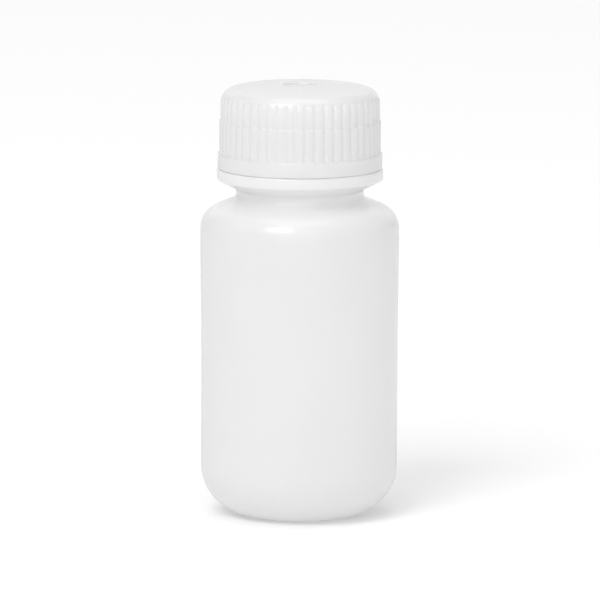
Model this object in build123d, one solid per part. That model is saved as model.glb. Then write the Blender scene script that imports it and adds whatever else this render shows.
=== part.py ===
from build123d import *
import math
import os

# 60 mL wide-mouth round bottle with a ribbed screw closure.
# Millimetres, +Z up. The origin is on the bottle's axis, in the plane that its foot rests on.

# Body of the bottle
body_dia = 39.1            # across the shoulder band, the widest place
panel_recess = 0.18        # the label panel is this much inside the shoulder band, per side
body_height = 57.1         # foot to where the shoulder starts to turn in
heel_radius = 9.8
body_wall = 1.1
shoulder_round = 4.7
shoulder_slope = 22.0      # degrees above level
flare_low = 22.0           # the flare from panel to shoulder band starts this far below the shoulder
flare_high = 4.0           # and ends this far below it
foot_inset = 2.2           # width of the flat ring that the bottle stands on
push_up = 1.5              # rise of the bottom's centre above the foot

# Neck finish
neck_dia = 25.2
neck_wall = 2.0
neck_round = 1.5           # fillet between shoulder and neck
plain_neck = 0.8           # straight neck between that fillet and the bead
bead_reach = 3.8           # neck wall to the bead's rim
bead_cone = 2.0            # height of the bead's sloping underside
bead_band = 1.9            # height of the bead's rim
bead_round = 0.5
finish_height = 13.2       # top of the bead to the lip
lip_round = 0.4

# Thread, right-handed
thread_pitch = 25.4 / 6
thread_turns = 1.5
thread_height = 1.1        # neck wall to thread crest
thread_root_width = 2.3
thread_crest_width = 1.0
thread_lead = 1.65         # lip to the middle of the thread's upper end
thread_bury = 0.15         # how deep a ridge is rooted in its wall
load_gap = 0.2             # between the flanks that carry the load when the closure is tight
crest_gap = 0.38           # thread crest to the closure's inner wall, and to the neck's wall

# Sealing liner
liner_thickness = 0.6      # of the foam as the tight closure presses it
liner_side_gap = 0.3
seal_gap = 0.05            # liner to lip, and liner to the closure's roof

# Screw closure
skirt_gap = 0.3            # bead to the skirt's lower edge
closure_wall = 1.62        # thread root to the tops of the upper ribs
lower_step = 0.12          # the lower ribs stand this much prouder, per side
flange_reach = 0.52        # the flange stands this much outside the upper ribs
flange_height = 2.9
flange_round = 0.45
ledge_below_top = 6.2      # grip top to the ledge between upper and lower ribs
roof_edge = 1.9            # roof thickness over the liner's edge
crown_rise = 1.0           # rise of the crown from the grip's rounded corner to its centre
corner_round = 3.0
rib_count = 50
groove_width = 1.0
groove_depth = 0.36
gate_well_dia = 6.4
gate_well_depth = 0.25
gate_nub_dia = 1.3

# Worked out from the sizes above
body_r = body_dia / 2
panel_r = body_r - panel_recess
neck_r = neck_dia / 2
bore_r = neck_r - neck_wall
bead_r = neck_r + bead_reach
slope_tan = math.tan(math.radians(shoulder_slope))
slope_cos = math.cos(math.radians(shoulder_slope))
shoulder_corner_z = body_height + shoulder_round * math.tan(math.radians(45 - shoulder_slope / 2))
neck_corner_z = shoulder_corner_z + (body_r - neck_r) * slope_tan
neck_round_rise = neck_round * math.tan(math.radians(45 - shoulder_slope / 2))
bead_low_z = neck_corner_z + neck_round_rise + plain_neck
bead_top_z = bead_low_z + bead_cone + bead_band
lip_z = bead_top_z + finish_height
liner_z = lip_z + seal_gap
roof_z = liner_z + liner_thickness + seal_gap
skirt_z = bead_top_z + skirt_gap
grip_top_z = roof_z + roof_edge
socket_r = neck_r + thread_height + crest_gap
grip_r = socket_r + closure_wall
neck_thread_z = lip_z - thread_lead - thread_turns * thread_pitch
flank_slope = (thread_root_width - thread_crest_width) / thread_height
mid_width = thread_root_width - flank_slope * (thread_height + crest_gap) / 2
closure_thread_z = neck_thread_z - mid_width - load_gap


def turned(points, rounds, within=None):
    """A solid of revolution from (radius, height) points, cut to the sketch within if there is one.
    rounds maps a corner of the outline to its fillet."""
    outline = make_face(Polyline(*points, close=True))
    if within:
        outline = outline & within
    for point, radius in rounds.items():
        corner = outline.vertices().sort_by_distance((point[0], point[1], 0))[0]
        outline = fillet(corner, radius)
    return revolve(Plane.XZ * outline, Axis.Z)


def bottle_form(inset, neck_radius, top_z, low_centre_z):
    """The bottle's body up to the plain neck, moved inwards by inset; the cavity has the same form."""
    wide = body_r - inset
    panel = panel_r - inset
    corner_z = shoulder_corner_z - inset / slope_cos + inset * slope_tan
    foot_r = panel - (heel_radius - inset)
    rise_r = foot_r - foot_inset
    neck_corner = (neck_radius, corner_z + (wide - neck_radius) * slope_tan)
    points = [
        (0, low_centre_z),
        (rise_r - 1.5 * push_up, low_centre_z),
        (rise_r, inset),
        (panel, inset),
        (panel, body_height - flare_low),
        (wide, body_height - flare_high),
        (wide, corner_z),
        neck_corner,
        (neck_radius, top_z),
        (0, top_z),
    ]
    rounds = {
        (panel, inset): heel_radius - inset,
        (wide, corner_z): shoulder_round - inset,
        neck_corner: neck_round + inset,
        (rise_r - 1.5 * push_up, low_centre_z): 1.2 * push_up,
    }
    return turned(points, rounds)


def thread_ridge(root_radius, direction, start_z):
    """One helical ridge, rooted at root_radius; direction is 1 outwards and -1 inwards."""
    inner = root_radius - direction * thread_bury
    crest = root_radius + direction * thread_height
    root_half = (thread_root_width + flank_slope * thread_bury) / 2
    crest_half = thread_crest_width / 2
    section = make_face(Polyline(
        (inner, start_z - root_half),
        (crest, start_z - crest_half),
        (crest, start_z + crest_half),
        (inner, start_z + root_half),
        close=True,
    ))
    path = Pos(0, 0, start_z) * Helix(thread_pitch, thread_pitch * thread_turns, root_radius)
    return sweep(Plane.XZ * section, path, is_frenet=True)


def make_bottle():
    outside = bottle_form(0, neck_r, lip_z, push_up)
    bead = turned(
        [(0, bead_low_z), (neck_r, bead_low_z), (bead_r, bead_low_z + bead_cone),
         (bead_r, bead_top_z), (0, bead_top_z)],
        {(bead_r, bead_low_z + bead_cone): bead_round, (bead_r, bead_top_z): bead_round},
    )
    cavity = bottle_form(body_wall, bore_r, lip_z, push_up + body_wall)
    bottle = outside + bead - cavity
    bottle = fillet(bottle.edges().group_by(Axis.Z)[-1], lip_round)
    return bottle + thread_ridge(neck_r, 1, neck_thread_z)


def make_liner():
    radius = socket_r - liner_side_gap
    return Pos(0, 0, liner_z) * Cylinder(radius, liner_thickness, align=(Align.CENTER, Align.CENTER, Align.MIN))


def make_grooves():
    """The hollows between the grip ribs. They start at the flange and run out in the crown's rounded corner."""
    low_z = skirt_z + flange_height
    groove = Pos(grip_r - groove_depth, 0, low_z) * Box(
        groove_depth + flange_reach, groove_width, grip_top_z - low_z, align=(Align.MIN, Align.CENTER, Align.MIN))
    return [Rot(0, 0, 360 * i / rib_count) * groove for i in range(rib_count)]


def make_closure():
    flange_r = grip_r + flange_reach
    flange_z = skirt_z + flange_height
    ledge_z = grip_top_z - ledge_below_top
    lower_r = grip_r + lower_step
    apex_z = grip_top_z + crown_rise
    crown_radius = (grip_r ** 2 + crown_rise ** 2) / (2 * crown_rise)
    outside = turned(
        [(0, skirt_z), (flange_r, skirt_z), (flange_r, flange_z), (lower_r, flange_z + lower_step),
         (lower_r, ledge_z), (grip_r, ledge_z + lower_step), (grip_r, apex_z), (0, apex_z)],
        {(flange_r, skirt_z): flange_round, (flange_r, flange_z): flange_round / 2,
         (grip_r, grip_top_z): corner_round},
        within=Pos(0, apex_z - crown_radius) * Circle(crown_radius),
    )
    socket = Pos(0, 0, skirt_z) * Cylinder(
        socket_r, roof_z - skirt_z, align=(Align.CENTER, Align.CENTER, Align.MIN))
    well_z = apex_z - gate_well_depth
    well = Pos(0, 0, well_z) * Cylinder(
        gate_well_dia / 2, 2 * gate_well_depth, align=(Align.CENTER, Align.CENTER, Align.MIN))
    nub = Pos(0, 0, well_z) * Cylinder(
        gate_nub_dia / 2, gate_well_depth / 2, align=(Align.CENTER, Align.CENTER, Align.MIN))
    closure = outside - socket - make_grooves() - well + nub
    return closure + thread_ridge(socket_r, -1, closure_thread_z)


os.makedirs("parts", exist_ok=True)
export_step(make_bottle(), "parts/bottle.step")
export_step(make_liner(), "parts/sealing_liner.step")
export_step(make_closure(), "parts/screw_cap.step")
print("lip", round(lip_z, 2), "closure top", round(grip_top_z + crown_rise, 2), "skirt", round(skirt_z, 2))
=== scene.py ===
import math

import bmesh
import bpy
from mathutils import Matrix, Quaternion, Vector


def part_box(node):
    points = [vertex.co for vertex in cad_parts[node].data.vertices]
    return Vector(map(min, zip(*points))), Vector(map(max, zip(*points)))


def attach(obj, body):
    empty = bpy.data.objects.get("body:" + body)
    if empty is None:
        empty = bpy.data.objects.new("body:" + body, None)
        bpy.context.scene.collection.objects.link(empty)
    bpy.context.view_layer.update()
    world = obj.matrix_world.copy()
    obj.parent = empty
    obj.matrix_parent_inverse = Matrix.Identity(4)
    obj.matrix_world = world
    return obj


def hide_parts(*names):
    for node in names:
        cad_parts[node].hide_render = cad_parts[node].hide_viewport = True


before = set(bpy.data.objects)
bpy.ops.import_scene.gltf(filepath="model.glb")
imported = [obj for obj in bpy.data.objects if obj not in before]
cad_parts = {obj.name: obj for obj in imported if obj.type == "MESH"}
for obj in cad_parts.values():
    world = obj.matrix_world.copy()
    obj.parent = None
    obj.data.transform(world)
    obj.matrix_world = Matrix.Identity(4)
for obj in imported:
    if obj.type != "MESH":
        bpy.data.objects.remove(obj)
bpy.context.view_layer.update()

mm = 0.001                            # every size below is in millimetres, and is scaled as it is used
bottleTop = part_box("bottle")[1]
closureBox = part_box("screw_cap")
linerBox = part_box("sealing_liner")
lipZ = bottleTop[2] / mm
bodyR = bottleTop[0] / mm
skirtZ = closureBox[0][2] / mm
linerZ = linerBox[0][2] / mm
linerTopZ = linerBox[1][2] / mm
print("frame loaded: lip", round(lipZ, 2), "body radius", round(bodyR, 2), "skirt", round(skirtZ, 2))


def editOn(obj):
    bpy.ops.object.select_all(action="DESELECT")
    obj.select_set(True)
    bpy.context.view_layer.objects.active = obj
    bpy.ops.object.mode_set(mode="EDIT")
    bpy.ops.mesh.select_mode(type="VERT")


def editOff():
    bpy.ops.object.mode_set(mode="OBJECT")


def pick(obj, test):                  # in edit mode: select the vertices that pass the test
    bpy.ops.mesh.select_all(action="DESELECT")
    shape = bmesh.from_edit_mesh(obj.data)
    count = 0
    for vert in shape.verts:
        if test(vert.co):
            vert.select_set(True)
            count += 1
    shape.select_flush(True)
    bmesh.update_edit_mesh(obj.data)
    return count


def roundCorners(corners, degreesPerStep=7.5):
    points = []                       # corners are (radius, height, rounding), points the rounded outline
    for i, (r, z, rounding) in enumerate(corners):
        here = Vector((r, z))
        if rounding == 0 or i in (0, len(corners) - 1):
            points.append(here)
            continue
        back = (Vector(corners[i - 1][:2]) - here).normalized()
        ahead = (Vector(corners[i + 1][:2]) - here).normalized()
        angle = back.angle(ahead)
        centre = here + (back + ahead).normalized() * rounding / math.sin(angle / 2)
        start = here + back * rounding / math.tan(angle / 2) - centre
        turn = math.pi - angle
        if back.x * ahead.y - back.y * ahead.x > 0:
            turn = -turn
        steps = max(3, math.ceil(abs(math.degrees(turn)) / degreesPerStep))
        for k in range(steps + 1):
            a = turn * k / steps
            points.append(centre + Vector((start.x * math.cos(a) - start.y * math.sin(a),
                                           start.x * math.sin(a) + start.y * math.cos(a))))
    return points


def drawOutline(name, points):        # one vertex, extruded from point to point in the XZ plane
    bpy.ops.object.select_all(action="DESELECT")
    bpy.ops.mesh.primitive_plane_add(size=mm)
    obj = bpy.context.object
    obj.name = name
    editOn(obj)
    bpy.ops.mesh.select_all(action="SELECT")
    bpy.ops.mesh.merge(type="CENTER")
    at = Vector((0, 0, 0))
    for i, point in enumerate(points):
        to = Vector((point[0] * mm, 0, point[1] * mm))
        if i:
            bpy.ops.mesh.extrude_vertices_move(TRANSFORM_OT_translate={"value": to - at})
        else:
            bpy.ops.transform.translate(value=to)
        at = to
    return obj


def turnOutline(obj, steps, angle=2 * math.pi):
    bpy.ops.mesh.select_all(action="SELECT")
    bpy.ops.mesh.spin(steps=steps, angle=angle, center=(0, 0, 0), axis=(0, 0, 1))


def mergeUp(obj):                     # still in edit mode: close seams and poles, then face outwards
    bpy.ops.mesh.select_all(action="SELECT")
    bpy.ops.mesh.remove_doubles(threshold=0.002 * mm)
    bpy.ops.mesh.normals_make_consistent(inside=False)


def finishShape(obj, sharpAngle=40):
    bpy.ops.object.select_all(action="DESELECT")
    obj.select_set(True)
    bpy.context.view_layer.objects.active = obj
    bpy.ops.object.transform_apply(location=True, rotation=True, scale=True)
    bpy.ops.object.shade_smooth_by_angle(angle=math.radians(sharpAngle))


def joinByUnion(obj, tool):
    bpy.ops.object.select_all(action="DESELECT")
    obj.select_set(True)
    bpy.context.view_layer.objects.active = obj
    bpy.ops.object.modifier_add(type="BOOLEAN")
    union = obj.modifiers[-1]
    union.operation = "UNION"
    union.solver = "EXACT"
    union.object = tool
    bpy.ops.object.modifier_apply(modifier=union.name)
    bpy.data.objects.remove(tool, do_unlink=True)


threadValues = {
    "pitch": 25.4 / 6, "turns": 1.5, "height": 1.1, "rootWidth": 2.3, "crestWidth": 1.0,
    "bury": 0.15, "stepsPerTurn": 96, "fadeSteps": 10, "crestRound": 0.28,
    "edgeShare": 0.82, "edgeDrop": 0.12, "endSize": 0.06,
}


def makeThread(name, rootR, direction, startZ):
    t = threadValues                  # right-handed: extruded round the neck a step at a time
    half = t["rootWidth"] / 2
    crestHalf = t["crestWidth"] / 2
    reach = direction * t["height"]
    section = [
        (rootR - direction * t["bury"], startZ - half),
        (rootR, startZ - half),
        (rootR + reach * t["edgeShare"], startZ - crestHalf - t["edgeDrop"]),
        (rootR + reach, startZ - crestHalf + t["crestRound"] / 2),
        (rootR + reach, startZ + crestHalf - t["crestRound"] / 2),
        (rootR + reach * t["edgeShare"], startZ + crestHalf + t["edgeDrop"]),
        (rootR, startZ + half),
        (rootR - direction * t["bury"], startZ + half),
    ]
    obj = drawOutline(name, section)
    bpy.ops.mesh.select_all(action="SELECT")
    bpy.ops.mesh.edge_face_add()
    steps = round(t["turns"] * t["stepsPerTurn"])
    stepAngle = 2 * math.pi / t["stepsPerTurn"]
    rise = t["pitch"] / t["stepsPerTurn"] * mm

    def fade(k):                      # 0 at either end of the ridge, 1 along its length
        u = min(k, steps - k) / t["fadeSteps"]
        return max(t["endSize"], math.sin(min(u, 1) * math.pi / 2))

    def squeeze(factor, k):           # towards the middle of the section's root
        a = stepAngle * k
        root = (rootR - direction * t["bury"]) * mm
        centre = (root * math.cos(a), root * math.sin(a), startZ * mm + rise * k)
        bpy.ops.transform.resize(value=(factor, factor, factor), center_override=centre)

    bpy.ops.mesh.select_mode(type="FACE")
    bpy.ops.mesh.select_all(action="SELECT")
    squeeze(fade(0), 0)
    for k in range(1, steps + 1):
        bpy.ops.mesh.extrude_region_move(TRANSFORM_OT_translate={"value": (0, 0, rise)})
        bpy.ops.transform.rotate(value=-stepAngle, orient_axis="Z", center_override=(0, 0, 0))
        if fade(k) != fade(k - 1):
            squeeze(fade(k) / fade(k - 1), k)
    bpy.ops.mesh.select_mode(type="VERT")
    mergeUp(obj)
    editOff()
    return obj


bottleValues = {
    "shoulderBelowLip": 24.89, "panelRecess": 0.18, "heelRound": 9.8, "shoulderRound": 4.7,
    "shoulderSlope": 22, "flareLow": 22.0, "flareHigh": 4.0, "flareRows": 8, "footInset": 2.2,
    "footRound": 0.7, "pushUp": 1.5, "pushUpSlope": 2.2, "pushUpRound": 1.8,
    "wall": 1.1, "neckR": 12.6, "neckWall": 2.0, "neckRound": 1.5, "beadReach": 3.8,
    "beadTopBelowLip": 13.02, "beadBand": 2.08, "beadCone": 2.0, "lipRound": 0.4,
    "threadLead": 1.65, "steps": 256, "partingHeight": 0.04,
    "pinchLength": 9.6, "pinchWidth": 0.7, "pinchHeight": 0.3,
    "beadRootRound": 0.8, "beadLowRound": 0.55, "beadTopRound": 0.3,
}


def bodyCorners(inset, neckR, neckTopZ, neckTopRound):
    b = bottleValues                  # from bottom centre to neck, moved in by inset
    slope = math.radians(b["shoulderSlope"])
    shoulderZ = lipZ - b["shoulderBelowLip"]
    cornerZ = shoulderZ + b["shoulderRound"] * math.tan(math.pi / 4 - slope / 2)
    cornerZ += inset * (math.tan(slope) - 1 / math.cos(slope))
    wide = bodyR - inset
    panel = wide - b["panelRecess"]
    foot = panel - (b["heelRound"] - inset)
    rise = foot - b["footInset"]
    low = inset
    centreZ = b["pushUp"] + inset
    corners = [(0, centreZ, 0), (rise - b["pushUpSlope"], centreZ, b["pushUpRound"]),
               (rise, low, b["footRound"]), (panel, low, b["heelRound"] - inset)]
    for k in range(b["flareRows"] + 1):         # a gentle flare from the label panel out to the shoulder band
        u = k / b["flareRows"]
        z = shoulderZ - b["flareLow"] + u * (b["flareLow"] - b["flareHigh"])
        corners.append((panel + b["panelRecess"] * u * u * (3 - 2 * u), z, 0))
    corners.append((wide, cornerZ, b["shoulderRound"] - inset))
    corners.append((neckR, cornerZ + (wide - neckR) * math.tan(slope), b["neckRound"] + inset))
    corners.append((neckR, neckTopZ, neckTopRound))
    return corners


def makeBottle():
    b = bottleValues
    beadR = b["neckR"] + b["beadReach"]
    beadTop = lipZ - b["beadTopBelowLip"]
    beadLow = beadTop - b["beadBand"] - b["beadCone"]
    outer = bodyCorners(0, b["neckR"], beadLow, b["beadRootRound"])
    outer += [(beadR, beadLow + b["beadCone"], b["beadLowRound"]), (beadR, beadTop, b["beadTopRound"]),
              (b["neckR"], beadTop, b["beadTopRound"]), (b["neckR"], lipZ, b["lipRound"])]
    inner = bodyCorners(b["wall"], b["neckR"] - b["neckWall"], lipZ, b["lipRound"])
    obj = drawOutline("bottleShell", roundCorners(outer + inner[::-1]))
    turnOutline(obj, b["steps"])
    mergeUp(obj)
    ridge = 1 + b["partingHeight"] / bodyR                # the mould's parting line
    outsideR = (bodyR - b["wall"] + 0.3) * mm
    pick(obj, lambda co: abs(co.y) < 1e-6 and abs(co.x) > outsideR)
    bpy.ops.transform.resize(value=(ridge, 1, 1), center_override=(0, 0, 0))
    editOff()
    bpy.ops.mesh.primitive_uv_sphere_add(         # the line where the mould pinched the base shut
        segments=32, ring_count=16, radius=mm, location=(0, 0, b["pushUp"] * mm),
        scale=(b["pinchLength"] / 2, b["pinchWidth"] / 2, b["pinchHeight"]))
    joinByUnion(obj, bpy.context.object)
    threadStart = lipZ - b["threadLead"] - threadValues["turns"] * threadValues["pitch"]
    joinByUnion(obj, makeThread("neckThread", b["neckR"], 1, threadStart))
    finishShape(obj)
    return obj


closureValues = {
    "socketR": 14.08, "gripWall": 1.62, "lowerStep": 0.2, "flangeReach": 0.52, "flangeHeight": 2.9,
    "ledgeBelowTop": 6.2, "crownRise": 1.0, "cornerRound": 3.0, "roofUnder": 0.05,
    "ribs": 50, "stepsPerRib": 10, "grooveDepth": 0.27, "grooveBelowTop": 1.25, "grooveEnd": 0.5,
    "grooveHalfColumns": 3, "grooveRunIn": 0.35,
    "wellR": 3.2, "wellDepth": 0.25, "nubR": 0.65, "threadOffset": 1.63,
}


def makeClosure():
    c = closureValues
    gripR = c["socketR"] + c["gripWall"]
    lowerR = gripR + c["lowerStep"]
    flangeR = gripR + c["flangeReach"]
    flangeZ = skirtZ + c["flangeHeight"]
    roofZ = linerTopZ + c["roofUnder"]
    crownR = (gripR ** 2 + c["crownRise"] ** 2) / (2 * c["crownRise"])
    wellRise = c["wellR"] ** 2 / (2 * crownR)
    apexZ = closureBox[1][2] / mm + wellRise              # the box ends at the well's rim
    gripTop = apexZ - c["crownRise"]
    ledgeZ = gripTop - c["ledgeBelowTop"]

    def crownZ(r):
        return apexZ - crownR + math.sqrt(crownR ** 2 - r ** 2)

    grooveTop = gripTop - c["grooveBelowTop"]
    corners = [(0, roofZ, 0), (c["socketR"], roofZ, 0.5), (c["socketR"], skirtZ, 0.35),
               (flangeR, skirtZ, 0.28), (flangeR, flangeZ, 0.3), (lowerR, flangeZ + 0.14, 0.12)]
    lowerRows = [flangeZ + 0.4 + (ledgeZ - flangeZ - 0.8) * k / 3 for k in range(4)]
    corners += [(lowerR, z, 0) for z in lowerRows]
    corners += [(lowerR, ledgeZ, 0.3), (gripR - 0.04, ledgeZ + 0.22, 0.1)]
    corners += [(gripR, ledgeZ + 0.9, 0), (gripR, gripTop - 0.02, c["cornerRound"])]
    corners += [(r, crownZ(r), 0) for r in (12.5, 10.5, 8.5, 6.5, 5.0, 4.0)]
    rimZ = crownZ(c["wellR"])
    corners += [(c["wellR"] + 0.1, rimZ, 0.08), (c["wellR"], rimZ - c["wellDepth"], 0.1),
                (c["nubR"] + 0.05, apexZ - c["wellDepth"] - 0.02, 0.05),
                (c["nubR"], apexZ - c["wellDepth"] / 2, 0.05),
                (0, apexZ - c["wellDepth"] / 2, 0)]
    sector = 2 * math.pi / c["ribs"]
    obj = drawOutline("closureShell", roundCorners(corners, 4.5))
    bpy.ops.mesh.select_all(action="SELECT")
    bpy.ops.transform.rotate(value=-sector / 2, orient_axis="Z", center_override=(0, 0, 0))
    turnOutline(obj, c["stepsPerRib"], sector)
    stepAngle = sector / c["stepsPerRib"]
    halfWidth = c["grooveHalfColumns"]
    outsideR = (gripR - 0.9) * mm
    lowZ = (flangeZ + 0.05) * mm
    for column in range(1 - halfWidth, halfWidth):          # press the groove in, column by column
        across = math.cos(math.pi / 2 * column / halfWidth) ** 2
        rows = sorted({round(v.co.z, 7) for v in bmesh.from_edit_mesh(obj.data).verts
                       if lowZ < v.co.z < grooveTop * mm and v.co.xy.length > outsideR})
        for z in rows:
            up = (z / mm - (grooveTop - c["grooveEnd"])) / c["grooveEnd"]
            down = (z / mm - flangeZ) / c["grooveRunIn"]
            ends = math.sqrt(1 - max(0, up) ** 2) * min(1, max(0, down))
            found = pick(obj, lambda co: abs(co.z - z) < 2e-7 and co.xy.length > outsideR
                         and abs(math.atan2(co.y, co.x) - column * stepAngle) < stepAngle / 4)
            if found:
                bpy.ops.transform.translate(value=(-c["grooveDepth"] * across * ends * mm, 0, 0))
    bpy.ops.mesh.select_all(action="SELECT")
    bpy.ops.mesh.spin(steps=c["ribs"] - 1, angle=sector * (c["ribs"] - 1), dupli=True,
                      center=(0, 0, 0), axis=(0, 0, 1))
    mergeUp(obj)
    editOff()
    neckStart = lipZ - bottleValues["threadLead"] - threadValues["turns"] * threadValues["pitch"]
    joinByUnion(obj, makeThread("closureThread", c["socketR"], -1, neckStart - c["threadOffset"]))
    finishShape(obj)
    return obj


linerValues = {"edgeRound": 0.2, "steps": 128}


def makeLiner():
    r = linerBox[1][0] / mm
    v = linerValues
    corners = [(0, linerZ, 0), (r * 0.75, linerZ, 0), (r, linerZ, v["edgeRound"]),
               (r, linerTopZ, v["edgeRound"]), (r * 0.75, linerTopZ, 0), (0, linerTopZ, 0)]
    obj = drawOutline("linerDisc", roundCorners(corners))
    turnOutline(obj, v["steps"])
    mergeUp(obj)
    editOff()
    finishShape(obj)
    return obj


class Value:                          # a node's output that can be used in sums
    def __init__(self, nodes, socket):
        self.nodes = nodes
        self.socket = socket

    def sum(self, operation, first, second):
        return self.nodes.add("ShaderNodeMath", {"operation": operation}, {0: first, 1: second})

    def __add__(self, other):
        return self.sum("ADD", self, other)

    def __radd__(self, other):
        return self.sum("ADD", other, self)

    def __sub__(self, other):
        return self.sum("SUBTRACT", self, other)

    def __rsub__(self, other):
        return self.sum("SUBTRACT", other, self)

    def __mul__(self, other):
        return self.sum("MULTIPLY", self, other)

    def __rmul__(self, other):
        return self.sum("MULTIPLY", other, self)


class Nodes:                          # builds one material
    def __init__(self, name):
        self.material = bpy.data.materials.new(name)
        self.material.use_nodes = True
        self.tree = self.material.node_tree
        self.tree.nodes.clear()

    def add(self, kind, settings=None, sockets=None, output=0):
        node = self.tree.nodes.new(kind)
        for key, value in (settings or {}).items():
            if key == "stops":
                for stop, (place, colour) in zip(node.color_ramp.elements, value):
                    stop.position = place
                    stop.color = colour
            else:
                setattr(node, key, value)
        for key, value in (sockets or {}).items():
            if isinstance(value, Value):
                self.tree.links.new(value.socket, node.inputs[key])
            else:
                node.inputs[key].default_value = value
        return Value(self, node.outputs[output]) if node.outputs else node

    def place(self, scale=(1, 1, 1)):
        coords = self.add("ShaderNodeTexCoord", output=3)
        return self.add("ShaderNodeMapping", sockets={"Vector": coords, "Scale": scale})

    def noise(self, vector, scale, detail=2.0, roughness=0.5):
        sockets = {"Vector": vector, "Scale": scale, "Detail": detail, "Roughness": roughness}
        return self.add("ShaderNodeTexNoise", sockets=sockets)

    def mixColour(self, factor, first, second):
        sockets = {0: factor, 6: first, 7: second}
        return self.add("ShaderNodeMix", {"data_type": "RGBA"}, sockets, output=2)


plasticValues = {
    "bottle": {"pale": (0.99, 0.99, 0.99, 1), "dull": (0.975, 0.975, 0.975, 1),
               "behind": (0.985, 0.985, 0.985, 1),
               "roughness": 0.34, "through": 0.55, "unevenness": 0.10, "peel": 0.05, "coatRough": 0.15,
               "thickFrom": 0.057, "thickTo": 0.0635, "thickLess": 0.27},
    "closure": {"pale": (0.985, 0.985, 0.985, 1), "dull": (0.97, 0.97, 0.97, 1),
                "behind": (0.98, 0.98, 0.98, 1),
                "roughness": 0.30, "through": 0.40, "unevenness": 0.06, "peel": 0.03, "coatRough": 0.14,
               "thickFrom": 0.080, "thickTo": 0.083, "thickLess": 0.08},
}


def milkyPlastic(name, v):
    n = Nodes(name)                   # part of the light comes back, part goes on through the wall
    space = n.place()
    cloud = n.noise(space, 90, 3)
    peel = n.noise(space, 1400, 2)
    drawn = n.noise(n.place((1, 1, 0.25)), 160, 1)          # the wall is drawn out along its height
    colour = n.mixColour(cloud, v["pale"], v["dull"])
    bump = n.add("ShaderNodeBump", sockets={"Height": drawn * 0.6 + peel * 0.12, "Strength": v["peel"],
                                            "Distance": 0.001})
    surface = n.add("ShaderNodeBsdfPrincipled", None, {
        "Base Color": colour, "Roughness": v["roughness"] + (cloud - 0.5) * 0.12, "Normal": bump, "IOR": 1.5,
        "Coat Weight": 1.0, "Coat Roughness": v["coatRough"], "Coat IOR": 1.7})
    beyond = n.add("ShaderNodeBsdfTranslucent", None, {"Color": v["behind"], "Normal": bump})
    height = n.add("ShaderNodeSeparateXYZ", None, {"Vector": space}, 2)      # thicker plastic higher up
    thick = n.add("ShaderNodeMapRange", None, {
        "Value": height, "From Min": v["thickFrom"], "From Max": v["thickTo"]})
    share = v["through"] + (drawn - 0.5) * v["unevenness"] - thick * v["thickLess"]
    shader = n.add("ShaderNodeMixShader", None, {0: share, 1: surface, 2: beyond})
    n.add("ShaderNodeOutputMaterial", sockets={"Surface": shader})
    return n.material


def foamMaterial():
    n = Nodes("linerFoam")
    space = n.place()
    cells = n.add("ShaderNodeTexVoronoi", {"feature": "F1"}, {"Vector": space, "Scale": 2600})
    cloud = n.noise(space, 300, 2)
    colour = n.mixColour(cloud, (0.88, 0.88, 0.87, 1), (0.82, 0.82, 0.80, 1))
    bump = n.add("ShaderNodeBump", sockets={"Height": cells, "Strength": 0.25, "Distance": 0.0002})
    shader = n.add("ShaderNodeBsdfPrincipled", None, {
        "Base Color": colour, "Roughness": 0.6 + (cloud - 0.5) * 0.2, "Normal": bump})
    n.add("ShaderNodeOutputMaterial", sockets={"Surface": shader})
    return n.material


bottle = makeBottle()
print("bottle", len(bottle.data.polygons))
closure = makeClosure()
print("closure", len(closure.data.polygons))
liner = makeLiner()
print("liner", len(liner.data.polygons))

bottle.data.materials.append(milkyPlastic("bottlePlastic", plasticValues["bottle"]))
closure.data.materials.append(milkyPlastic("closurePlastic", plasticValues["closure"]))
liner.data.materials.append(foamMaterial())
for piece, body, node, slotName in ((bottle, "bottle", "bottle", "bottle_plastic"),
                                    (closure, "closure", "screw_cap", "closure_plastic"),
                                    (liner, "liner", "sealing_liner", "liner_foam")):
    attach(piece, body)
    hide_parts(node)


stageValues = {
    "floorSize": 6.0, "floorColour": (0.98, 0.98, 0.98, 1), "worldStrength": 0.60,
    "keyAzimuth": -30, "keyHeight": 46, "keyDistance": 3.0, "keySize": 1.6, "keyPower": 22,
    "overSize": 2.0, "overHeight": 2.2, "overPower": 10,
    "backAzimuth": 180, "backSize": 3.4, "backHeight": 16, "backDistance": 2.6, "backPower": 11,
    "fillAzimuth": 0, "fillSize": 2.6, "fillHeight": 18, "fillDistance": 2.6, "fillPower": 13,
    "cameraHeight": 9.0, "cameraDistance": 1.8, "cameraRoll": 0.2, "targetX": 0.00009, "targetZ": 0.0426,
    "frameWidth": 0.1185, "bounces": 24,
}


def fromAngles(azimuth, height, distance):      # azimuth 0 is in front of the bottle, on -Y
    a, h = math.radians(azimuth), math.radians(height)
    return Vector((math.sin(a) * math.cos(h), -math.cos(a) * math.cos(h), math.sin(h))) * distance


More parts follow.
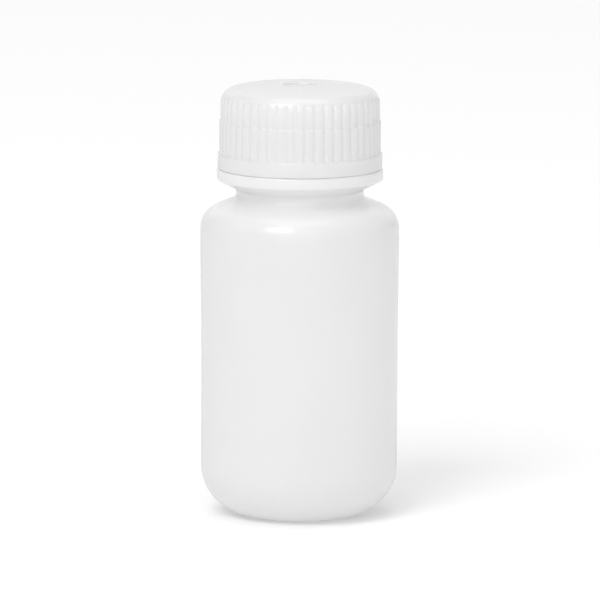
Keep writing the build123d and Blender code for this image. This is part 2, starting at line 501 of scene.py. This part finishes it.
def makeStage():
    s = stageValues
    bpy.ops.object.select_all(action="DESELECT")
    bpy.ops.mesh.primitive_plane_add(size=s["floorSize"])
    floor = bpy.context.object
    floor.name = "floor"
    n = Nodes("floorPaper")
    shader = n.add("ShaderNodeBsdfDiffuse", None, {"Color": s["floorColour"], "Roughness": 0.5})
    n.add("ShaderNodeOutputMaterial", sockets={"Surface": shader})
    floor.data.materials.append(n.material)
    world = bpy.data.worlds.new("studio")
    world.use_nodes = True
    back = world.node_tree.nodes["Background"]
    back.inputs["Color"].default_value = (1, 1, 1, 1)
    back.inputs["Strength"].default_value = s["worldStrength"]
    bpy.context.scene.world = world
    target = Vector((s["targetX"], 0, s["targetZ"]))

    def softbox(name, size, power, offset):
        bpy.ops.object.light_add(type="AREA")
        lamp = bpy.context.object
        lamp.name = name
        lamp.data.shape = "DISK"
        lamp.data.size = size
        lamp.data.energy = power
        lamp.location = target + offset
        lamp.rotation_euler = (-offset).to_track_quat("-Z", "Y").to_euler()

    softbox("keyLight", s["keySize"], s["keyPower"],
            fromAngles(s["keyAzimuth"], s["keyHeight"], s["keyDistance"]))
    softbox("backLight", s["backSize"], s["backPower"],
            fromAngles(s["backAzimuth"], s["backHeight"], s["backDistance"]))
    softbox("fillLight", s["fillSize"], s["fillPower"],
            fromAngles(s["fillAzimuth"], s["fillHeight"], s["fillDistance"]))
    softbox("overLight", s["overSize"], s["overPower"], Vector((0, 0, s["overHeight"])))
    bpy.ops.object.camera_add()
    camera = bpy.context.object
    camera.location = target + fromAngles(0, s["cameraHeight"], s["cameraDistance"])
    aim = (target - camera.location).to_track_quat("-Z", "Y")
    camera.rotation_euler = (aim @ Quaternion((0, 0, 1), math.radians(s["cameraRoll"]))).to_euler()
    camera.data.lens = camera.data.sensor_width * s["cameraDistance"] / s["frameWidth"]
    camera.data.clip_end = 20
    bpy.context.scene.camera = camera
    bpy.context.scene.view_settings.view_transform = "Standard"
    cycles = bpy.context.scene.cycles
    cycles.max_bounces = s["bounces"]          # light goes round inside milky plastic
    cycles.diffuse_bounces = s["bounces"]
    cycles.transmission_bounces = s["bounces"]


makeStage()
print("stage ready")
